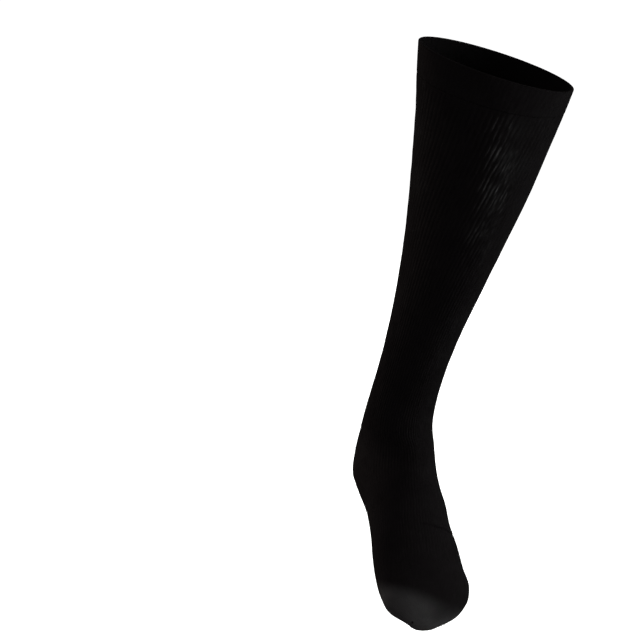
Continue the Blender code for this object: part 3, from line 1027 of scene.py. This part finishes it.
def knit_material(name, knit, yarn):
    """The knitted cloth of one piece, with loops, ribs, fuzz and slow changes of tone."""
    finish = FINISHES[name]
    material, tree, shader = new_material(name + "_knit")
    shader.inputs["Specular IOR Level"].default_value = 0.0
    shader.inputs["Coat Roughness"].default_value = finish.gloss_roughness
    shader.inputs["Sheen Weight"].default_value = finish.sheen
    shader.inputs["Sheen Roughness"].default_value = SHEEN_ROUGHNESS

    stitch_map = tree.nodes.new("ShaderNodeUVMap")
    stitch_map.uv_map = "stitches"
    stitches = stitch_map.outputs["UV"]
    place = tree.nodes.new("ShaderNodeTexCoord").outputs["Object"]
    loops = place_group(tree, "Knitted loops", knit_group, Lean=finish.loop_lean, Stitches=stitches)
    variation = place_group(tree, "Yarn variation", yarn_group, Place=place, Stitches=stitches)
    ribs = place_group(tree, "Rib tone", rib_group, Stitches=stitches)
    ribbed, shine, charcoal, fold = (
        cloth_shade(tree, shade) for shade in ("ribbed", "shine", "charcoal", "fold")
    )

    # Painted shade: the tone is lower between the loops and in the rib valleys.
    valley = calculate(tree, "SUBTRACT", 1.0, ribs.outputs["Crest"])
    valley = calculate(tree, "MULTIPLY", valley, ribbed)
    crest = calculate(tree, "MULTIPLY_ADD", valley, -finish.ribs, 1.0)
    tone = calculate(tree, "MULTIPLY", loops.outputs["Yarn"], crest)
    for output in ("Streaks", "Patches"):
        change = calculate(tree, "ADD", variation.outputs[output], 0.5)
        tone = calculate(tree, "MULTIPLY", tone, change)
    # Painted shade: the yarn is darkened in the creases' troughs.
    tone = calculate(tree, "MULTIPLY", tone, calculate(tree, "MULTIPLY_ADD", fold, -CREASE_PAINTED_SHADE, 1.0))
    full = calculate(tree, "MINIMUM", tone, 1.0)
    # Painted highlight: the yarn is blended paler where it shines.
    highlight_paling = calculate(tree, "SUBTRACT", shine, BETWEEN_SPOTS)
    highlight_paling = calculate(tree, "MULTIPLY", highlight_paling, PAINTED_HIGHLIGHT_SHARE, clamp=True)
    colour = blend_colours(tree, full, yarn.dark, yarn.light)
    colour = blend_colours(tree, calculate(tree, "MULTIPLY", highlight_paling, tone), colour, yarn.painted_highlight)
    toe_colour = blend_colours(tree, full, yarn.toe_dark, yarn.toe_light)
    colour = blend_colours(tree, charcoal, colour, toe_colour)
    tree.links.new(colour, shader.inputs["Base Color"])

    fuzz, height = variation.outputs["Fuzz"], loops.outputs["Height"]
    middle = finish.roughness - FUZZ_ROUGHNESS / 2
    roughness = calculate(tree, "MULTIPLY_ADD", fuzz, FUZZ_ROUGHNESS, middle)
    roughness = calculate(tree, "MULTIPLY_ADD", height, -LOOP_ROUGHNESS, roughness, clamp=True)
    tree.links.new(roughness, shader.inputs["Roughness"])

    facing = tree.nodes.new("ShaderNodeLayerWeight")
    facing.inputs["Blend"].default_value = 0.5
    dashes = calculate(tree, "SUBTRACT", variation.outputs["Streaks"], DASH_FROM)
    dashes = calculate(tree, "MULTIPLY", dashes, DASH_SHARPNESS, clamp=True)
    gloss = calculate(tree, "SUBTRACT", 1.0, facing.outputs["Facing"])
    gloss = calculate(tree, "MULTIPLY", gloss, calculate(tree, "MULTIPLY", shine, finish.gloss))
    gloss = calculate(tree, "MULTIPLY", gloss, calculate(tree, "MULTIPLY", tone, dashes))
    tree.links.new(gloss, shader.inputs["Coat Weight"])

    bump = tree.nodes.new("ShaderNodeBump")
    bump.inputs["Distance"].default_value = knit.stitch_depth
    fuzzy = calculate(tree, "MULTIPLY_ADD", fuzz, FUZZ_HEIGHT, height)
    tree.links.new(fuzzy, bump.inputs["Height"])
    tree.links.new(bump.outputs["Normal"], shader.inputs["Normal"])
    return material


def studio_floor_material(studio):
    """A pale studio floor that looks lit through, as a light table does."""
    material, tree, shader = new_material("studio_floor")
    shader.inputs["Roughness"].default_value = 0.9
    shader.inputs["Specular IOR Level"].default_value = 0.1
    shader.inputs["Emission Color"].default_value = (1.0, 1.0, 1.0, 1.0)
    seen = tree.nodes.new("ShaderNodeLightPath").outputs["Is Camera Ray"]
    colour = blend_colours(tree, seen, studio.floor_bounce, studio.floor_colour)
    tree.links.new(colour, shader.inputs["Base Color"])
    glow = calculate(tree, "MULTIPLY", seen, studio.floor_glow)
    tree.links.new(glow, shader.inputs["Emission Strength"])
    return material


# ---------------------------------------------------------------- operators


def declare_cloth(first, last, angle):
    """Spreads rows of stations over a piece's relaxed cut, between its first and its last edge;
    nothing is kept or returned.
    """
    share = np.linspace(0.0, 1.0, CUT_ROWS)[:, None]
    span = last(angle) - first(angle)
    station = first(angle) + share * span


class StockingOperator:
    """What the stocking's operators share."""

    bl_options = {"REGISTER", "UNDO"}

    @property
    def knit(self):
        return bpy.context.scene.stocking_knit

    @property
    def yarn(self):
        return bpy.context.scene.stocking_yarn

    def relief(self, station, angle):
        """The height of the cloth's outside over the skin, with no ribs unless a piece has them."""
        return cloth_relief(station, angle, self.knit)

    def knit_piece(self, name, finish, lattice, angle, ribbed=False, charcoal=0.0, **closing):
        """Makes a piece of cloth from its lattice, with its own material."""
        material = knit_material(finish, self.knit, self.yarn)
        shades = shades_of(lattice, ribbed, charcoal)
        return make_cloth(name, lattice, angle, shades, material, **closing)

    def knit_wall(self, first, last, angle, rows):
        """The lattice of one wall of plain thickness, between its first and its last edge."""
        return wall_lattice((first, last), angle, rows, self.relief, WALL, self.knit)


class STOCKING_OT_welt(StockingOperator, bpy.types.Operator):
    """Makes the doubled band at the top, turned over at the top edge"""

    bl_idname = "stocking.welt"
    bl_label = "Make Welt"

    def relief(self, station, angle):
        fine = WELT_RIB * np.cos(np.radians(angle) * RIB_COUNT)
        return WELT_PROUD + fine + WELT_UNEVEN * super().relief(station, angle)

    def execute(self, context):
        angle = angles_round(COLUMNS)
        edges = Edge(top_edge, folded), Edge(welt_seam, rolled)
        inner = WELT_WALL - WELT_PROUD
        lattice = wall_lattice(edges, angle, WELT_ROWS, self.relief, inner, self.knit, FOLD_ROWS)
        piece = self.knit_piece("welt_band", "welt", lattice, angle)
        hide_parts("welt")
        declare_cloth(top_edge, welt_seam, angle)
        return {"FINISHED"}


class STOCKING_OT_leg(StockingOperator, bpy.types.Operator):
    """Makes the ribbed leg, from the welt to the ankle and over the heel pocket"""

    bl_idname = "stocking.leg"
    bl_label = "Make Leg"

    def relief(self, station, angle):
        ribs = below_welt(station) * rib_heights(station, angle, self.knit)
        return ribs + super().relief(station, angle)

    def execute(self, context):
        angle = angles_round(COLUMNS)
        first, last = Edge(welt_seam, rolled), Edge(leg_seam, rolled_at_heel)
        lattice = self.knit_wall(first, last, angle, LEG_ROWS)
        piece = self.knit_piece("leg_knit", "leg", lattice, angle, ribbed=True)
        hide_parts("leg")
        declare_cloth(welt_seam, leg_seam, angle)
        return {"FINISHED"}


class STOCKING_OT_heel(StockingOperator, bpy.types.Operator):
    """Makes the plain heel pocket, which narrows to a corner on each side of the ankle"""

    bl_idname = "stocking.heel"
    bl_label = "Make Heel Pocket"

    def execute(self, context):
        corner = 180.0 - HEEL_REACH
        angle = np.linspace(corner + HEEL_END, 360.0 - corner - HEEL_END, HEEL_COLUMNS)
        first, last = Edge(leg_seam, rolled_at_heel), Edge(foot_seam, rolled_at_heel)
        lattice = self.knit_wall(first, last, angle, HEEL_ROWS)
        piece = self.knit_piece("heel_pocket", "heel", lattice, angle, columns_close=False)
        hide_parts("heel")
        declare_cloth(leg_seam, foot_seam, angle)
        return {"FINISHED"}


class STOCKING_OT_foot(StockingOperator, bpy.types.Operator):
    """Makes the foot, ribbed over the instep and plain under the sole"""

    bl_idname = "stocking.foot"
    bl_label = "Make Foot"

    def relief(self, station, angle):
        fade = before_toe(station, angle) * instep_share(angle)
        on_foot = smooth_step((station - foot_seam(angle)) / RIBS_FLATTEN)
        ribs = fade * (1 - FOOT_FLATTER * on_foot) * rib_heights(station, angle, self.knit)
        return ribs + super().relief(station, angle)

    def execute(self, context):
        angle = angles_round(COLUMNS)
        fade = self.yarn.toe_fade / MM
        first, last = Edge(foot_seam, rolled_at_heel), Edge(toe_seam, square)
        lattice = self.knit_wall(first, last, angle, FOOT_ROWS)
        piece = self.knit_piece("foot_knit", "foot", lattice, angle, ribbed=True, charcoal=fade)
        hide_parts("foot")
        declare_cloth(foot_seam, toe_seam, angle)
        return {"FINISHED"}


class STOCKING_OT_toe(StockingOperator, bpy.types.Operator):
    """Makes the plain toe cap, closed at the tip, where its yarn turns to charcoal"""

    bl_idname = "stocking.toe"
    bl_label = "Make Toe Cap"

    def execute(self, context):
        angle = angles_round(TOE_COLUMNS)
        end = LAST + TIP_RUN * (1 - TIP_OPEN)
        roll = square(angle)
        seam = cut_edge(toe_seam, angle, 1, self.knit.seam_gap / MM)

        def face(rows, depth):
            share = np.linspace(0.0, 1.0, rows)[:, None]
            station = end * (1 - share) + (seam + roll) * share
            even = smooth_step((LAST - station) / TIP_EVEN)
            return station, self.relief(station, angle) * even - depth

        outside, outer = face(TOE_ROWS[0], 0.0)
        inside, inner = (rows[::-1] for rows in face(TOE_ROWS[1], WALL))
        edge = rolled_rows(seam, outer[-1], inner[0], roll, -1, EDGE_ROWS)
        stations = np.concatenate((outside, edge[0][::-1], inside))
        heights = np.concatenate((outer, edge[1][::-1], inner))
        lattice = Lattice(stations, np.broadcast_to(angle, stations.shape), heights)
        middle = skin(LAST + TIP_RUN, angle).mean(axis=0)
        piece = self.knit_piece(
            "toe_cap", "toe", lattice, angle, charcoal=self.yarn.toe_fade / MM,
            poles=(middle, middle - (WALL, 0.0, 0.0)),
        )
        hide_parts("toe")
        declare_cloth(toe_seam, tip_edge, angle)
        return {"FINISHED"}


class STOCKING_OT_seams(StockingOperator, bpy.types.Operator):
    """Makes the rows of linking stitches and fashion marks along the seams"""

    bl_idname = "stocking.seams"
    bl_label = "Make Seam Stitches"

    def execute(self, context):
        thread = knit_material("thread", self.knit, self.yarn)
        angle = angles_round(2 * RIB_COUNT)
        rows = [("welt_stitches", welt_seam(angle), angle, WELT_STITCH)]
        for side, ends in HEEL_MARKS.items():
            angle = np.linspace(*ends)
            rows.append(("heel_marks_" + side, station_of("heel_back"), angle, HEEL_MARK))
        first = station_of("toe_root") + TOE_MARKS_PAST
        down = np.linspace(first, LAST - TOE_MARKS_SHORT, TOE_MARKS)
        for side, angle in TOE_MARK_ANGLES.items():
            rows.append(("toe_marks_" + side, down, angle, TOE_MARK))
        back = np.linspace(*LINK_BACK)
        rows.append(("toe_linking", LAST - back, np.linspace(*LINK_ANGLES), LINK))
        for name, station, angle, stitch in rows:
            piece = make_stitches(name, station, angle, stitch, thread)
        return {"FINISHED"}


class STOCKING_OT_stage(bpy.types.Operator):
    """Makes the floor, the lights and the camera"""

    bl_idname = "stocking.stage"
    bl_label = "Make Stage"

    def execute(self, context):
        studio = context.scene.stocking_studio
        low, high = PACKED_BOX
        floor_mesh = bpy.data.meshes.new("floor")
        height = low.z - studio.floor_drop
        sides = ((-1, -1), (1, -1), (1, 1), (-1, 1))
        corners = [(x * FLOOR_REACH, y * FLOOR_REACH, height) for x, y in sides]
        floor_mesh.from_pydata(corners, [], [(0, 1, 2, 3)])
        floor_mesh.materials.append(studio_floor_material(studio))
        floor = add_object("floor", floor_mesh)

        world = bpy.data.worlds.new("studio")
        world.use_nodes = True
        tree = world.node_tree
        surroundings = tree.nodes["Background"]
        surroundings.inputs["Color"].default_value = (1.0, 1.0, 1.0, 1.0)
        path = tree.nodes.new("ShaderNodeLightPath")
        strength = calculate(tree, "MAXIMUM", path.outputs["Is Camera Ray"], studio.daylight)
        tree.links.new(strength, surroundings.inputs["Strength"])
        context.scene.world = world

        top_data = bpy.data.lights.new("overhead", "SUN")
        top_data.energy = studio.overhead_power
        top_data.angle = studio.overhead_softness
        add_object("overhead", top_data).location = (0.0, 0.0, high.z + OVERHEAD_RISE)

        for lamp in LAMPS:
            lamp_data = bpy.data.lights.new(lamp.name, "AREA")
            lamp_data.shape = "RECTANGLE"
            lamp_data.size = lamp.width
            lamp_data.size_y = lamp.height
            lamp_data.energy = lamp.power * studio.lamp_strength
            lamp_data.color = lamp.colour
            turn, rise = math.radians(lamp.azimuth), math.radians(lamp.elevation)
            towards = Vector((math.sin(turn), -math.cos(turn), math.tan(rise))).normalized()
            light = add_object(lamp.name, lamp_data)
            light.location = (low + high) / 2 + towards * lamp.distance
            light.rotation_mode = "QUATERNION"
            light.rotation_quaternion = towards.to_track_quat("Z", "Y")
            light.visible_camera = False
            light.visible_glossy = lamp.in_gloss

        camera_data = bpy.data.cameras.new("camera")
        camera_data.lens = studio.lens
        camera = add_object("camera", camera_data)
        camera.location = CAMERA_PLACE
        camera.rotation_euler = (math.radians(90.0 - CAMERA_ELEVATION), 0.0, 0.0)
        context.scene.camera = camera
        context.scene.view_settings.view_transform = "Standard"
        return {"FINISHED"}


# ---------------------------------------------------------------- panel and add-on

MAKERS = (
    STOCKING_OT_welt,
    STOCKING_OT_leg,
    STOCKING_OT_heel,
    STOCKING_OT_foot,
    STOCKING_OT_toe,
    STOCKING_OT_seams,
    STOCKING_OT_stage,
)


class STOCKING_PT_sidebar(bpy.types.Panel):
    """The stocking's settings and the buttons that make its pieces"""

    bl_idname = "STOCKING_PT_sidebar"
    bl_label = "Compression Stocking"
    bl_space_type = "VIEW_3D"
    bl_region_type = "UI"
    bl_category = "Stocking"

    def draw(self, context):
        for title, settings in (
            ("Knit", context.scene.stocking_knit),
            ("Yarn", context.scene.stocking_yarn),
            ("Studio", context.scene.stocking_studio),
        ):
            box = self.layout.box()
            box.label(text=title)
            for name in settings.__annotations__:
                box.prop(settings, name)
        for maker in MAKERS:
            self.layout.operator(maker.bl_idname)


CLASSES = (StockingKnit, StockingYarn, StockingStudio, *MAKERS, STOCKING_PT_sidebar)


def register():
    """Registers the classes and gives each scene its settings."""
    for each in CLASSES:
        bpy.utils.register_class(each)
    bpy.types.Scene.stocking_knit = bpy.props.PointerProperty(type=StockingKnit)
    bpy.types.Scene.stocking_yarn = bpy.props.PointerProperty(type=StockingYarn)
    bpy.types.Scene.stocking_studio = bpy.props.PointerProperty(type=StockingStudio)


def unregister():
    """Takes the settings and the classes away again."""
    del bpy.types.Scene.stocking_studio
    del bpy.types.Scene.stocking_yarn
    del bpy.types.Scene.stocking_knit
    for each in reversed(CLASSES):
        bpy.utils.unregister_class(each)


def main():
    """Registers the add-on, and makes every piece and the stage."""
    register()
    bpy.ops.stocking.welt()
    bpy.ops.stocking.leg()
    bpy.ops.stocking.heel()
    bpy.ops.stocking.foot()
    bpy.ops.stocking.toe()
    bpy.ops.stocking.seams()
    bpy.ops.stocking.stage()


if __name__ == "__main__":
    main()
